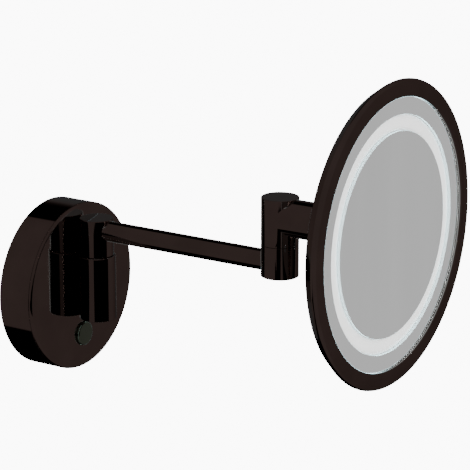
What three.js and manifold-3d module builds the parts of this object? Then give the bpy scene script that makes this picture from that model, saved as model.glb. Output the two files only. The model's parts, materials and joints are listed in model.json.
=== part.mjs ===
// Extendable wall-mounted shaving mirror with a lit ring, in millimetres.
// +Z is up. The origin is the centre of the wall face, and the mirror reaches out along -Y.
import * as THREE from 'three';
import { mergeVertices } from 'three/addons/utils/BufferGeometryUtils.js';
import Module from 'manifold-3d';

const wasm = await Module();
wasm.setup();

// ---- Driving dimensions ----
// Wall base
const BASE_R = 66.4;
const BASE_DEPTH = 30.15;
const COVER_WALL = 2.0;
const COVER_FACE = 3.0;
const COVER_EDGE = 2.2;
const PLATE_THICK = 3.0;
// Wall joint: a fixed sleeve with the arm's knuckle turning on top of it
const POST_OFFSET = 14.69;
const SLEEVE_R = 14.4;
const SLEEVE_LOW = -23.6;
const SLEEVE_TOP = 27.8;
const KNUCKLE_R = 13.1;
const KNUCKLE_TOP = 57.5;
const PIN_R = 5.0;
const PIN_BORE_R = 2.0;
// Arm
const ARM_LENGTH = 167.0;
const ARM_R = 8.0;
const ARM_WALL = 1.5;
const ARM_Z = 48.4;
// Elbow and neck
const ELBOW_R = 14.2;
const ELBOW_LOW = 38.4;
const ELBOW_SPLIT = 63.0;
const ELBOW_TOP = 98.8;
const NECK_Z = 84.0;
const NECK_LENGTH = 48.0;
const NECK_WALL = 2.7;
const TILT_REACH = 60.2;
// Head
const HEAD_REACH = 97.2;
const RIM_R = 113.25;
const RIM_BACK_R = 107.7;
const RIM_DEPTH = 10.5;
const GLASS_R = 100.0;
const GLASS_RECESS = 2.0;
const GLASS_THICK = 3.1;
const LIGHT_IN_R = 75.5;
const LIGHT_OUT_R = 87.3;
const LIGHT_RECESS = 2.0;
const HEAD_DEPTH = 26.0;
const SHELL_WALL = 1.6;
// Button
const BUTTON_R = 9.3;
const BUTTON_Z = -39.3;
const BUTTON_PROUD = 2.6;
// Fits
const GAP = 0.3;
const RUNNING = 0.1;
const HOLE_GAP = 0.4;

// ---- Round shapes are cut into this many flats ----
const HEAD_SEGMENTS = 40;
const BASE_SEGMENTS = 36;
const TUBE_SEGMENTS = 24;
const SMALL_SEGMENTS = 10;

// ---- Finishes ----
function finish(color, roughness, metalness) {
  return new THREE.MeshStandardMaterial({ color, roughness, metalness });
}

const darkBronze = finish(0x2a211f, 0.12, 0.95);
const darkRim = finish(0x241e1c, 0.14, 0.95);
const buttonFinish = finish(0x3b3a33, 0.22, 0.9);
const mirrorGlass = finish(0xd2d3d2, 0.03, 1.0);
const opal = finish(0xf2f1ec, 0.45, 0.0);
const zincSteel = finish(0x9a9c9e, 0.35, 0.9);
const aluminium = finish(0xb9bbbd, 0.4, 0.9);
const blackPlastic = finish(0x1c1c1e, 0.5, 0.0);
const whitePlastic = finish(0xe8e8e4, 0.5, 0.0);
const nylon = finish(0xe2ded2, 0.45, 0.0);
const rubber = finish(0x161616, 0.8, 0.0);
const circuitBoard = finish(0x1f4a2e, 0.45, 0.0);
const cableSheath = finish(0x202022, 0.6, 0.0);

// ---- Solids ----
// A closed three.js geometry as a solid that can be joined and cut.
function solidOf(geometry) {
  geometry.deleteAttribute('normal');
  geometry.deleteAttribute('uv');
  const merged = mergeVertices(geometry, 1e-4);
  const corners = merged.index.array;
  const kept = [];
  for (let i = 0; i < corners.length; i += 3) {
    const [a, b, c] = corners.slice(i, i + 3);
    if (a !== b && b !== c && c !== a) kept.push(a, b, c);
  }
  return new wasm.Manifold(new wasm.Mesh({
    numProp: 3,
    vertProperties: new Float32Array(merged.attributes.position.array),
    triVerts: new Uint32Array(kept),
  }));
}

// The named mesh of a solid.
function meshOf(name, solid, material) {
  const { vertProperties, triVerts } = solid.getMesh();
  const geometry = new THREE.BufferGeometry();
  geometry.setAttribute('position', new THREE.BufferAttribute(vertProperties, 3));
  geometry.setIndex(new THREE.BufferAttribute(triVerts, 1));
  geometry.computeVertexNormals();
  const mesh = new THREE.Mesh(geometry, material);
  mesh.name = name;
  return mesh;
}

// A section [radius, height] turned about its height axis. Twice its signed area is positive
// when the section runs anticlockwise, which turns into faces that point out.
function turned(section, segments) {
  const points = section.map(([r, h]) => new THREE.Vector2(r, h));
  let area = 0;
  points.forEach((p, i) => {
    const q = points[(i + 1) % points.length];
    area += p.x * q.y - q.x * p.y;
  });
  if (area < 0) points.reverse();
  if (points[0].x > 0 || points[points.length - 1].x > 0) points.push(points[0].clone());
  return new THREE.LatheGeometry(points, segments);
}

// Turned about Y, with the section's heights along Y.
function turnedY(section, segments, x = 0, z = 0) {
  return solidOf(turned(section, segments).translate(x, 0, z));
}

// Turned about Z, with the section's heights along Z.
function turnedZ(section, segments, y = 0, x = 0) {
  return solidOf(turned(section, segments).rotateX(Math.PI / 2).translate(x, y, 0));
}

// Turned about X, with the section's heights along X.
function turnedX(section, segments, y = 0, z = 0) {
  return solidOf(turned(section, segments).rotateZ(-Math.PI / 2).translate(0, y, z));
}

// Sections of a plain rod and of a plain ring.
function rod(r, from, to) {
  return [[0, from], [r, from], [r, to], [0, to]];
}

function ring(inner, outer, from, to) {
  return [[inner, from], [outer, from], [outer, to], [inner, to]];
}

// A box given by its low and high corners.
function block(low, high) {
  const size = high.map((h, i) => h - low[i]);
  const middle = high.map((h, i) => (h + low[i]) / 2);
  return solidOf(new THREE.BoxGeometry(...size).translate(...middle));
}

// A plate drawn as a shape in X and Z, standing between two depths along -Y.
function plate(shape, front, back, curveSegments = 8) {
  const depth = back - front;
  const geometry = new THREE.ExtrudeGeometry(shape, { depth, bevelEnabled: false, curveSegments });
  return solidOf(geometry.rotateX(Math.PI / 2).translate(0, back, 0));
}

// A rounded rectangle, centred at x and z.
function roundedRectangle(width, height, radius, x, z) {
  const shape = new THREE.Shape();
  const right = x + width / 2;
  const left = x - width / 2;
  const top = z + height / 2;
  const bottom = z - height / 2;
  shape.moveTo(left + radius, bottom);
  shape.lineTo(right - radius, bottom);
  shape.absarc(right - radius, bottom + radius, radius, -Math.PI / 2, 0);
  shape.lineTo(right, top - radius);
  shape.absarc(right - radius, top - radius, radius, 0, Math.PI / 2);
  shape.lineTo(left + radius, top);
  shape.absarc(left + radius, top - radius, radius, Math.PI / 2, Math.PI);
  shape.lineTo(left, bottom + radius);
  shape.absarc(left + radius, bottom + radius, radius, Math.PI, 1.5 * Math.PI);
  return shape;
}

// A pan-head screw along Y: the head reaches from seat to top, the shank from seat to tip.
function screwY(headR, shankR, top, seat, tip, x, z) {
  const edge = (top - seat) * 0.35;
  const head = [[0, top], [headR - Math.abs(edge), top], [headR, top - edge], [headR, seat]];
  const screw = turnedY([...head, [shankR, seat], [shankR, tip], [0, tip]], SMALL_SEGMENTS, x, z);
  const slotDepth = (top - seat) * 0.5;
  const slot = turnedY(rod(headR * 0.42, top - slotDepth, top + slotDepth), 6, x, z);
  return screw.subtract(slot);
}

// A hexagonal nut on a vertical pin.
function nutZ(cornerR, boreR, from, to, y) {
  const body = turnedZ(rod(cornerR, from, to), 6, y);
  return body.subtract(turnedZ(rod(boreR, from - 1, to + 1), SMALL_SEGMENTS, y));
}

// ================= Wall base =================
const base = new THREE.Group();
const faceY = -BASE_DEPTH;
const faceInnerY = faceY + COVER_FACE;
const coverInnerR = BASE_R - COVER_WALL;
const postY = faceY - POST_OFFSET;

const M3_R = 1.5;
const M3_HOLE_R = M3_R + HOLE_GAP;
const M5_R = 2.2;
const M5_HOLE_R = M5_R + GAP;
const SCREW_HEIGHTS = [18, -14];
const LEAD_HOLE_R = 2.5;
const GRUB_R = 2.0;
const GRUB_Y = -7.5;
const GROMMET = { x: -32, z: -22, r: 7.0 };
const DRIVER = { halfWidth: 30, low: 6, high: 34, depth: 18, earX: 34 };
const DRIVER_Z = (DRIVER.low + DRIVER.high) / 2;
const WALL_SLOT_R = 46;

// The disc that is screwed to the wall, with a low rim that the cover slides over.
function makeWallPlate() {
  const outer = coverInnerR - 0.5;
  const rimInner = outer - 2.4;
  const section = [
    [0, 0], [outer, 0], [outer, -12], [rimInner, -12], [rimInner, -PLATE_THICK], [0, -PLATE_THICK],
  ];
  let solid = turnedY(section, BASE_SEGMENTS);
  for (const [x, z] of [[WALL_SLOT_R, 0], [-WALL_SLOT_R, 0], [0, WALL_SLOT_R], [0, -WALL_SLOT_R]]) {
    solid = solid.subtract(plate(roundedRectangle(10, 5.4, 2.6, x, z), -PLATE_THICK - 1, 1, 4));
  }
  solid = solid.subtract(turnedY(rod(GROMMET.r + GAP, -4, 1), 16, GROMMET.x, GROMMET.z));
  for (const side of [-1, 1]) {
    const hole = turnedY(rod(M3_HOLE_R, -4, 1), SMALL_SEGMENTS, side * DRIVER.earX, DRIVER_Z);
    solid = solid.subtract(hole);
  }
  return solid.subtract(turnedZ(rod(GRUB_R + GAP, -BASE_R, -50), SMALL_SEGMENTS, GRUB_Y));
}

const BOARD_SCREW_X = 15;
const BOARD_BACK = -19.0;
const BOARD_FRONT = -20.6;

// The drum: one cup-shaped shell, open at the wall, with two bosses for the switch board.
function makeBaseCover() {
  const section = [[0, faceInnerY], [coverInnerR, faceInnerY], [coverInnerR, 0], [BASE_R, 0]];
  const EDGE_STEPS = 3;
  for (let i = 0; i <= EDGE_STEPS; i += 1) {
    const turn = (i / EDGE_STEPS) * (Math.PI / 2);
    const r = BASE_R - COVER_EDGE + COVER_EDGE * Math.cos(turn);
    section.push([r, faceY + COVER_EDGE - COVER_EDGE * Math.sin(turn)]);
  }
  section.push([0, faceY]);
  let solid = turnedY(section, BASE_SEGMENTS);
  for (const side of [-1, 1]) {
    const x = side * BOARD_SCREW_X;
    const boss = turnedY(rod(2.8, faceInnerY - 1, BOARD_FRONT - GAP), SMALL_SEGMENTS, x, BUTTON_Z);
    const bore = turnedY(rod(1.4, faceInnerY + 0.5, 0), SMALL_SEGMENTS, x, BUTTON_Z);
    solid = solid.add(boss).subtract(bore);
  }
  solid = solid.subtract(turnedY(rod(BUTTON_R + GAP, faceY - 1, faceInnerY + 1), TUBE_SEGMENTS, 0, BUTTON_Z));
  for (const z of SCREW_HEIGHTS) {
    const hole = turnedY(rod(M5_HOLE_R, faceY - 1, faceInnerY + 1), SMALL_SEGMENTS, 0, z);
    solid = solid.subtract(hole);
  }
  solid = solid.subtract(turnedY(rod(LEAD_HOLE_R, faceY - 1, faceInnerY + 1), SMALL_SEGMENTS));
  return solid.subtract(turnedZ(rod(GRUB_R + GAP, -BASE_R - 1, -60), SMALL_SEGMENTS, GRUB_Y));
}

// The socket-head grub screw that locks the cover, from below.
function makeGrubScrew() {
  const low = -BASE_R + 0.4;
  const screw = turnedZ(rod(GRUB_R, low, low + 7), SMALL_SEGMENTS, GRUB_Y);
  return screw.subtract(turnedZ(rod(1.1, low - 1, low + 2), 6, GRUB_Y));
}

// The potted supply for the lights, with a screw ear at each end.
function makeLedDriver() {
  const back = -PLATE_THICK - GAP;
  const width = 2 * DRIVER.halfWidth;
  const height = DRIVER.high - DRIVER.low;
  let solid = plate(roundedRectangle(width, height, 3, 0, DRIVER_Z), back - DRIVER.depth, back, 3);
  for (const side of [-1, 1]) {
    const x = side * (DRIVER.earX - 2);
    solid = solid.add(plate(roundedRectangle(14, 12, 3, x, DRIVER_Z), back - 2.5, back, 3));
    const hole = turnedY(rod(M3_HOLE_R, back - 30, 1), SMALL_SEGMENTS, side * DRIVER.earX, DRIVER_Z);
    solid = solid.subtract(hole);
  }
  return solid;
}

// A three-way block for the mains wires: wire holes from below, clamp screws from the front.
function makeTerminalBlock() {
  const back = -PLATE_THICK - GAP;
  let solid = block([16, back - 11, -28], [46, back, -14]);
  for (const x of [21, 31, 41]) {
    solid = solid.subtract(turnedZ(rod(2.0, -30, -18), SMALL_SEGMENTS, back - 4, x));
    solid = solid.subtract(turnedY(rod(2.2, back - 12, back - 8), 8, x, -21));
  }
  return solid;
}

// The rubber bush where the mains wires come through the wall plate.
function makeGrommet() {
  const section = [[4, -GAP], [GROMMET.r, -GAP], [GROMMET.r, -3.3], [10, -3.3], [10, -5.2], [4, -5.2]];
  return turnedY(section, 16, GROMMET.x, GROMMET.z);
}

// The small circuit board behind the button.
function makeSwitchBoard() {
  const shape = roundedRectangle(36, 15, 1.5, 0, BUTTON_Z);
  let solid = plate(shape, BOARD_FRONT, BOARD_BACK, 2);
  for (const side of [-1, 1]) {
    const x = side * BOARD_SCREW_X;
    solid = solid.subtract(turnedY(rod(1.4, -25, -15), SMALL_SEGMENTS, x, BUTTON_Z));
  }
  return solid;
}

const SWITCH_FRONT = -23.4;

function makeTactSwitch() {
  const back = BOARD_FRONT - GAP;
  const can = block([-6, SWITCH_FRONT + 0.8, BUTTON_Z - 6], [6, back, BUTTON_Z + 6]);
  return can.add(turnedY(rod(3.2, SWITCH_FRONT, back - 0.5), SMALL_SEGMENTS, 0, BUTTON_Z));
}

// The fixed half of the wall joint: a sleeve with a shelf that the pivot pin runs in.
const SHELF_LOW = 6;
const CHAMBER_R = 10;

function makeFixedSleeve() {
  const chamfer = 0.8;
  const section = [
    [12.8, SLEEVE_LOW], [SLEEVE_R - chamfer, SLEEVE_LOW], [SLEEVE_R, SLEEVE_LOW + chamfer],
    [SLEEVE_R, SLEEVE_TOP - chamfer], [SLEEVE_R - chamfer, SLEEVE_TOP],
    [PIN_R + RUNNING, SLEEVE_TOP], [PIN_R + RUNNING, SHELF_LOW], [CHAMBER_R, SHELF_LOW],
    [CHAMBER_R, SLEEVE_LOW + 2], [12.8, SLEEVE_LOW + 2],
  ];
  let solid = turnedZ(section, TUBE_SEGMENTS, postY);
  const back = postY + SLEEVE_R + 1;
  SCREW_HEIGHTS.forEach((z) => {
    solid = solid.subtract(turnedY(rod(M5_HOLE_R, postY + 7, back), SMALL_SEGMENTS, 0, z));
  });
  return solid.subtract(turnedY(rod(LEAD_HOLE_R, postY + 7, back), SMALL_SEGMENTS));
}

function makeSleeveEndCap() {
  const seat = SLEEVE_LOW + 2 - GAP;
  const section = [
    [0, SLEEVE_LOW], [12.5, SLEEVE_LOW], [12.5, seat],
    [9.7, seat], [9.7, seat + 4], [0, seat + 4],
  ];
  return turnedZ(section, TUBE_SEGMENTS, postY);
}

// A screw from inside the drum into the sleeve.
function makeSleeveScrew(z) {
  const seat = faceInnerY + GAP;
  const tip = z > 0 ? postY + 7.4 : postY + CHAMBER_R + 0.4;
  return screwY(4.3, M5_R, seat + 2.6, seat, tip, 0, z);
}

base.add(
  meshOf('wall_plate', makeWallPlate(), zincSteel),
  meshOf('base_cover', makeBaseCover(), darkBronze),
  meshOf('cover_grub_screw', makeGrubScrew(), blackPlastic),
  meshOf('led_driver', makeLedDriver(), whitePlastic),
  meshOf('terminal_block', makeTerminalBlock(), nylon),
  meshOf('cable_grommet', makeGrommet(), rubber),
  meshOf('switch_board', makeSwitchBoard(), circuitBoard),
  meshOf('tact_switch', makeTactSwitch(), blackPlastic),
  meshOf('fixed_sleeve', makeFixedSleeve(), darkBronze),
  meshOf('sleeve_end_cap', makeSleeveEndCap(), darkBronze),
  meshOf('sleeve_screw_upper', makeSleeveScrew(SCREW_HEIGHTS[0]), zincSteel),
  meshOf('sleeve_screw_lower', makeSleeveScrew(SCREW_HEIGHTS[1]), zincSteel),
);
for (const [side, word] of [[-1, 'left'], [1, 'right']]) {
  const earTop = -PLATE_THICK - GAP - 2.5 - GAP;
  const driverScrew = screwY(3.0, M3_R, earTop - 2, earTop, -0.8, side * DRIVER.earX, DRIVER_Z);
  const boardSeat = BOARD_BACK + GAP;
  const boardScrew = screwY(2.5, 1.1, boardSeat + 1.6, boardSeat, -25.2, side * BOARD_SCREW_X, BUTTON_Z);
  base.add(meshOf(`driver_screw_${word}`, driverScrew, zincSteel));
  base.add(meshOf(`board_screw_${word}`, boardScrew, zincSteel));
}

// ---- The push button, free to slide in the drum's face ----
function makePowerButton() {
  const front = faceY - BUTTON_PROUD;
  const edge = 1.3;
  const flangeFront = faceInnerY + 0.35;
  const flangeBack = flangeFront + 1.2;
  const section = [[0, front], [BUTTON_R - edge, front]];
  for (const turn of [0.33, 0.67, 1]) {
    const angle = turn * (Math.PI / 2);
    section.push([BUTTON_R - edge + edge * Math.sin(angle), front + edge - edge * Math.cos(angle)]);
  }
  section.push([BUTTON_R, flangeFront], [BUTTON_R + 1.3, flangeFront], [BUTTON_R + 1.3, flangeBack]);
  section.push([3, flangeBack], [3, SWITCH_FRONT - 1.8], [0, SWITCH_FRONT - 1.8]);
  return turnedY(section, TUBE_SEGMENTS, 0, BUTTON_Z);
}

base.add(meshOf('power_button', makePowerButton(), buttonFinish));

// ================= Arm, turning on the wall joint =================
// Its group stands on the wall joint's axis.
const arm = new THREE.Group();
arm.position.set(0, postY, 0);
const SPIGOT_R = ARM_R - ARM_WALL - GAP;
const SPIGOT_LENGTH = 26;
const PIN_HOLE_R = PIN_R + GAP;
const knuckleLow = SLEEVE_TOP + GAP;

// The turning half of the wall joint, with a spigot for the arm tube.
function makeArmKnuckle() {
  const chamfer = 0.5;
  const body = turnedZ([
    [0, knuckleLow], [KNUCKLE_R - chamfer, knuckleLow], [KNUCKLE_R, knuckleLow + chamfer],
    [KNUCKLE_R, KNUCKLE_TOP - chamfer], [KNUCKLE_R - chamfer, KNUCKLE_TOP], [0, KNUCKLE_TOP],
  ], TUBE_SEGMENTS);
  const spigot = turnedY(rod(SPIGOT_R, -SPIGOT_LENGTH, -8), SMALL_SEGMENTS, 0, ARM_Z);
  const leadHole = turnedY(rod(LEAD_HOLE_R, -SPIGOT_LENGTH - 1, 0), SMALL_SEGMENTS, 0, ARM_Z);
  const pinHole = turnedZ(rod(PIN_HOLE_R, knuckleLow - 1, 42), TUBE_SEGMENTS);
  const leadWay = turnedZ(rod(LEAD_HOLE_R, 41, ARM_Z), SMALL_SEGMENTS);
  return body.add(spigot).subtract(leadHole).subtract(pinHole).subtract(leadWay);
}

// A hollow pivot pin, which lets the lead through.
function makePivotPin(from, to) {
  return turnedZ(ring(PIN_BORE_R, PIN_R, from, to), TUBE_SEGMENTS);
}

function makeSlipWasher(outerR, from) {
  return turnedZ(ring(PIN_HOLE_R, outerR, from, from + 1.5), 24);
}

// A shallow cone that keeps the joint's friction up as it wears.
function makeSpringWasher(outerR, from) {
  const section = [[PIN_HOLE_R, from], [outerR, from + 0.8], [outerR, from + 1.9], [PIN_HOLE_R, from + 1.1]];
  return turnedZ(section, 24);
}

// The arm's tube, with its ends cut to sit against the knuckle and the elbow.
function makeArmTube() {
  const tube = turnedY(ring(ARM_R - ARM_WALL, ARM_R, -ARM_LENGTH + 8, -8), TUBE_SEGMENTS, 0, ARM_Z);
  const nearCut = turnedZ(rod(KNUCKLE_R + GAP, 0, 100), TUBE_SEGMENTS);
  const farCut = turnedZ(rod(ELBOW_R + GAP, 0, 100), TUBE_SEGMENTS, -ARM_LENGTH);
  return tube.subtract(nearCut).subtract(farCut);
}

function makeArmLead() {
  return turnedY(rod(1.8, -ARM_LENGTH + 9.6, -1.5), 10, 0, ARM_Z);
}

// The arm's half of the elbow: a cup that is open below, with a shelf for the pin.
const ELBOW_CHAMBER_R = 11;
const ELBOW_SHELF_LOW = 55;
const elbowLowTop = ELBOW_SPLIT - GAP / 2;

function makeElbowLower() {
  const chamfer = 0.4;
  const cup = turnedZ([
    [ELBOW_CHAMBER_R, ELBOW_LOW], [ELBOW_R - chamfer, ELBOW_LOW], [ELBOW_R, ELBOW_LOW + chamfer],
    [ELBOW_R, elbowLowTop], [PIN_R + RUNNING, elbowLowTop],
    [PIN_R + RUNNING, ELBOW_SHELF_LOW], [ELBOW_CHAMBER_R, ELBOW_SHELF_LOW],
  ], TUBE_SEGMENTS, -ARM_LENGTH);
  const spigotEnd = -ARM_LENGTH + SPIGOT_LENGTH;
  const spigot = turnedY(rod(SPIGOT_R, -ARM_LENGTH + 12.4, spigotEnd), SMALL_SEGMENTS, 0, ARM_Z);
  const leadHole = turnedY(rod(LEAD_HOLE_R, -ARM_LENGTH, spigotEnd + 1), SMALL_SEGMENTS, 0, ARM_Z);
  return cup.add(spigot).subtract(leadHole);
}

function makeElbowBottomCap() {
  const section = rod(ELBOW_CHAMBER_R - GAP, ELBOW_LOW + 0.2, ELBOW_LOW + 2.6);
  return turnedZ(section, TUBE_SEGMENTS, -ARM_LENGTH);
}

arm.add(
  meshOf('arm_knuckle', makeArmKnuckle(), darkBronze),
  meshOf('wall_pivot_pin', makePivotPin(-4.5, 41.7), zincSteel),
  meshOf('wall_slip_washer', makeSlipWasher(9.2, 4.2), nylon),
  meshOf('wall_spring_washer', makeSpringWasher(8.8, 2.0), zincSteel),
  meshOf('wall_pivot_nut', nutZ(8.3, PIN_HOLE_R, -3.2, 1.6, 0), zincSteel),
  meshOf('arm_tube', makeArmTube(), darkBronze),
  meshOf('arm_lead', makeArmLead(), cableSheath),
  meshOf('elbow_lower', makeElbowLower(), darkBronze),
  meshOf('elbow_bottom_cap', makeElbowBottomCap(), darkBronze),
);

// ================= Neck, turning on the elbow =================
// Its group stands on the elbow's axis.
const neck = new THREE.Group();
neck.position.set(0, -ARM_LENGTH, 0);
const neckBoreR = ELBOW_R - NECK_WALL;
const NECK_LEAD_DROP = 8.7;
const TONGUE_R = 7;
const TONGUE_HALF = 3;
const TILT_PIN_R = 2.5;
const FLANGE_THICK = 2.5;

// The neck's half of the elbow and its tube, in one cast piece.
function makeNeckTee() {
  const chamfer = 0.4;
  const post = turnedZ([
    [0, ELBOW_SPLIT + GAP / 2], [ELBOW_R, ELBOW_SPLIT + GAP / 2], [ELBOW_R, ELBOW_TOP - chamfer],
    [ELBOW_R - chamfer, ELBOW_TOP], [0, ELBOW_TOP],
  ], TUBE_SEGMENTS);
  const tube = turnedY(rod(ELBOW_R, -NECK_LENGTH, 0), TUBE_SEGMENTS, 0, NECK_Z);
  const bore = turnedY(rod(neckBoreR, -NECK_LENGTH - 1, 4), TUBE_SEGMENTS, 0, NECK_Z);
  const pinHole = turnedZ(rod(PIN_HOLE_R, ELBOW_SPLIT - 1, NECK_Z - neckBoreR + 2), TUBE_SEGMENTS);
  return post.add(tube).subtract(bore).subtract(pinHole);
}

// The plug that closes the neck, with the tongue of the tilt joint.
function makeNeckEndPlug() {
  const flangeBack = -NECK_LENGTH - GAP;
  const flangeFront = flangeBack - FLANGE_THICK;
  const insert = turnedY([
    [0, -NECK_LENGTH + 8], [neckBoreR - GAP, -NECK_LENGTH + 8], [neckBoreR - GAP, flangeBack],
    [ELBOW_R, flangeBack], [ELBOW_R, flangeFront], [0, flangeFront],
  ], TUBE_SEGMENTS, 0, NECK_Z);
  const leadHole = turnedY(rod(1.9, -60, -30), SMALL_SEGMENTS, 0, NECK_Z - NECK_LEAD_DROP);
  const tongue = block(
    [-TONGUE_HALF, -TILT_REACH, NECK_Z - TONGUE_R],
    [TONGUE_HALF, flangeFront + 0.5, NECK_Z + TONGUE_R],
  );
  const eye = turnedX(rod(TONGUE_R, -TONGUE_HALF, TONGUE_HALF), 16, -TILT_REACH, NECK_Z);
  const eyeHole = turnedX(rod(TILT_PIN_R + RUNNING, -5, 5), 24, -TILT_REACH, NECK_Z);
  return insert.subtract(leadHole).add(tongue).add(eye).subtract(eyeHole);
}

function makeNeckLead() {
  return turnedY(rod(1.6, -NECK_LENGTH - 2.5, -10), 10, 0, NECK_Z - NECK_LEAD_DROP);
}

neck.add(
  meshOf('neck_tee', makeNeckTee(), darkBronze),
  meshOf('elbow_pivot_pin', makePivotPin(44.5, 72), zincSteel),
  meshOf('elbow_slip_washer', makeSlipWasher(10.2, 53.2), nylon),
  meshOf('elbow_spring_washer', makeSpringWasher(9.2, 51.0), zincSteel),
  meshOf('elbow_pivot_nut', nutZ(8.3, PIN_HOLE_R, 45.9, 50.7, 0), zincSteel),
  meshOf('neck_lead', makeNeckLead(), cableSheath),
  meshOf('neck_end_plug', makeNeckEndPlug(), darkBronze),
);
arm.add(neck);

// ================= Head, tilting on the neck =================
// Its group stands on the tilt axis, and the head's own axis runs along Y through it.
const head = new THREE.Group();
head.position.set(0, -TILT_REACH, NECK_Z);
const frontY = -(HEAD_REACH - TILT_REACH);
const glassFrontY = frontY + GLASS_RECESS;
const glassBackY = glassFrontY + GLASS_THICK;
const carrierFrontY = glassBackY + GAP;
const carrierBackY = carrierFrontY + 1.6;
const rimBackY = frontY + RIM_DEPTH;
const shellBackY = frontY + HEAD_DEPTH;
const shellInnerY = shellBackY - SHELL_WALL;
const shellFrontY = rimBackY + GAP;
const RECESS_R = 103.9;
const FLAT_R = 66;
const SHELL_SCREW_R = 58;
const EAR_IN = 4.0;
const EAR_OUT = 7.6;
const FOOT_R = 17;
const FOOT_SCREW_Z = 11.6;
const footFrontY = shellBackY + GAP;
const footBackY = footFrontY + 2.2;

// The ring that frames the glass: a flat front face, a tapered side and an inner lip.
function makeRimRing() {
  return turnedY([
    [GLASS_R, glassFrontY - GAP], [GLASS_R, frontY + 0.7], [GLASS_R + 0.7, frontY],
    [RIM_R - 0.9, frontY], [RIM_R, frontY + 0.7], [RIM_BACK_R, rimBackY],
    [RECESS_R, rimBackY], [RECESS_R, glassFrontY - GAP],
  ], HEAD_SEGMENTS);
}

function makeCentreMirror() {
  return turnedY(rod(LIGHT_IN_R, glassFrontY, glassBackY), HEAD_SEGMENTS);
}

function makeOuterMirror() {
  return turnedY(ring(LIGHT_OUT_R, RECESS_R - 0.4, glassFrontY, glassBackY), HEAD_SEGMENTS);
}

const CHANNEL_IN_R = 72;
const CHANNEL_OUT_R = 90.5;
const channelY = carrierFrontY + 5.6;

// The opal ring that the light comes through: a flange behind the glass and a face between the mirrors.
function makeLightDiffuser() {
  const faceIn = LIGHT_IN_R + GAP;
  const faceOut = LIGHT_OUT_R - GAP;
  const flangeFront = glassBackY + 0.4;
  const flangeBack = flangeFront + 1.3;
  return turnedY([
    [CHANNEL_IN_R + GAP, flangeBack], [CHANNEL_OUT_R - GAP, flangeBack],
    [CHANNEL_OUT_R - GAP, flangeFront], [faceOut, flangeFront],
    [faceOut, glassFrontY + LIGHT_RECESS], [faceIn, glassFrontY + LIGHT_RECESS],
    [faceIn, flangeFront], [CHANNEL_IN_R + GAP, flangeFront],
  ], HEAD_SEGMENTS);
}

const LED_COUNT = 24;
const boardBackY = channelY - GAP;
const boardFrontY = boardBackY - 1.5;

// The ring-shaped circuit board, with a light chip every 15 degrees.
function makeLedBoard() {
  let solid = turnedY(ring(74, 88.5, boardFrontY, boardBackY), HEAD_SEGMENTS);
  const middleR = (LIGHT_IN_R + LIGHT_OUT_R) / 2;
  for (let i = 0; i < LED_COUNT; i += 1) {
    const chip = new THREE.BoxGeometry(3.4, 1.1, 2.8).translate(0, boardFrontY - 0.35, middleR);
    solid = solid.add(solidOf(chip.rotateY((i / LED_COUNT) * 2 * Math.PI)));
  }
  return solid;
}

// Where the four screws of the back shell stand.
function shellScrewPlaces() {
  return [45, 135, 225, 315].map((degrees) => {
    const turn = THREE.MathUtils.degToRad(degrees);
    return [SHELL_SCREW_R * Math.cos(turn), SHELL_SCREW_R * Math.sin(turn)];
  });
}

// The pressed plate behind the mirrors, with a channel for the lights and four screw bosses.
function makeMirrorCarrier() {
  const channelBack = channelY + 1.6;
  let solid = turnedY([
    [0, carrierFrontY], [CHANNEL_IN_R, carrierFrontY], [CHANNEL_IN_R, channelY],
    [CHANNEL_OUT_R, channelY], [CHANNEL_OUT_R, carrierFrontY], [103.2, carrierFrontY],
    [103.2, carrierBackY], [CHANNEL_OUT_R + 1.5, carrierBackY], [CHANNEL_OUT_R + 1.5, channelBack],
    [CHANNEL_IN_R - 1.5, channelBack], [CHANNEL_IN_R - 1.5, carrierBackY], [0, carrierBackY],
  ], HEAD_SEGMENTS);
  for (const [x, z] of shellScrewPlaces()) {
    solid = solid.add(turnedY(rod(4, carrierBackY - 0.5, shellInnerY - 3), SMALL_SEGMENTS, x, z));
    solid = solid.subtract(turnedY(rod(M3_HOLE_R, carrierBackY + 1, 0), SMALL_SEGMENTS, x, z));
  }
  return solid;
}

// One side of the shell's section, from the rim back to the flat middle, on a single curve.
function shellCurve(startR, startY, bendR, bendY, endY) {
  const curve = new THREE.QuadraticBezierCurve(
    new THREE.Vector2(startR, startY),
    new THREE.Vector2(bendR, bendY),
    new THREE.Vector2(FLAT_R, endY),
  );
  return curve.getPoints(4).map((p) => [p.x, p.y]);
}

function makeHeadBackShell() {
  const outside = shellCurve(RIM_BACK_R - GAP, shellFrontY, 87, shellBackY - 3, shellBackY);
  const inside = shellCurve(RIM_BACK_R - 2.5, shellFrontY, 86.5, shellInnerY - 3, shellInnerY);
  let solid = turnedY([...outside, [0, shellBackY], [0, shellInnerY], ...inside.reverse()], HEAD_SEGMENTS);
  for (const [x, z] of shellScrewPlaces()) {
    solid = solid.subtract(turnedY(rod(M3_HOLE_R, -20, 0), SMALL_SEGMENTS, x, z));
  }
  for (const z of [-FOOT_SCREW_Z, FOOT_SCREW_Z]) {
    solid = solid.subtract(turnedY(rod(M3_HOLE_R, -20, 0), SMALL_SEGMENTS, 0, z));
  }
  return solid;
}

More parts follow.
